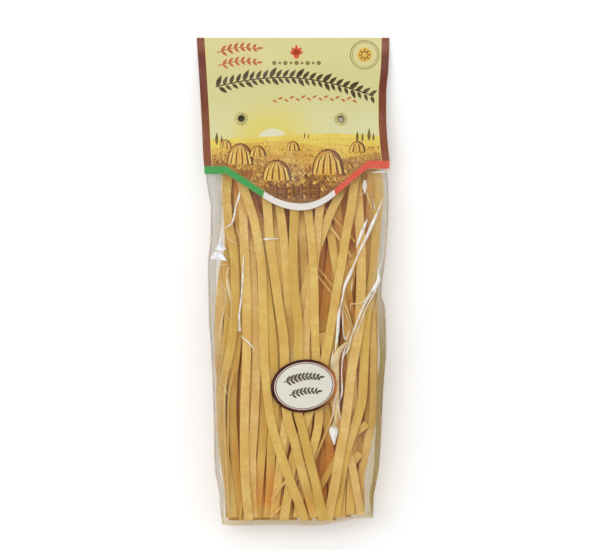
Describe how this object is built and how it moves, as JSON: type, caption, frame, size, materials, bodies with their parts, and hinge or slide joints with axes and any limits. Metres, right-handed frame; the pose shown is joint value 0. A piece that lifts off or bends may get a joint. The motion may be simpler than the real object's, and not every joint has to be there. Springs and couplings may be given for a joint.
{
  "type": "bag of dry ribbon pasta",
  "caption": "Clear side-gusseted bag of long flat dry pasta ribbons, closed by a folded printed header card held with brass eyelets, with an oval sticker on the front.",
  "frame": {"origin": "centre of the underside's plan box, on the surface the bag lies on", "axes": "+Z out of the front of the bag, which lies on its back; +Y along the ribbons towards the header card; +X to the right of someone who looks at the front"},
  "size_m": [0.1319, 0.3333, 0.039],
  "materials": {
    "pasta": "dry egg pasta, semi-matt, in glossy clear film",
    "card": "coated board, printed, satin",
    "eyelet": "lacquered",
    "label": "coated paper with a foil rim",
    "film": "clear thin film, glossy, with creases"
  },
  "bodies": {
    "root": {"bag": "pasta", "header_card": "card", "eyelet_left": "eyelet", "eyelet_right": "eyelet", "label": "label"}
  },
  "joints": []
}
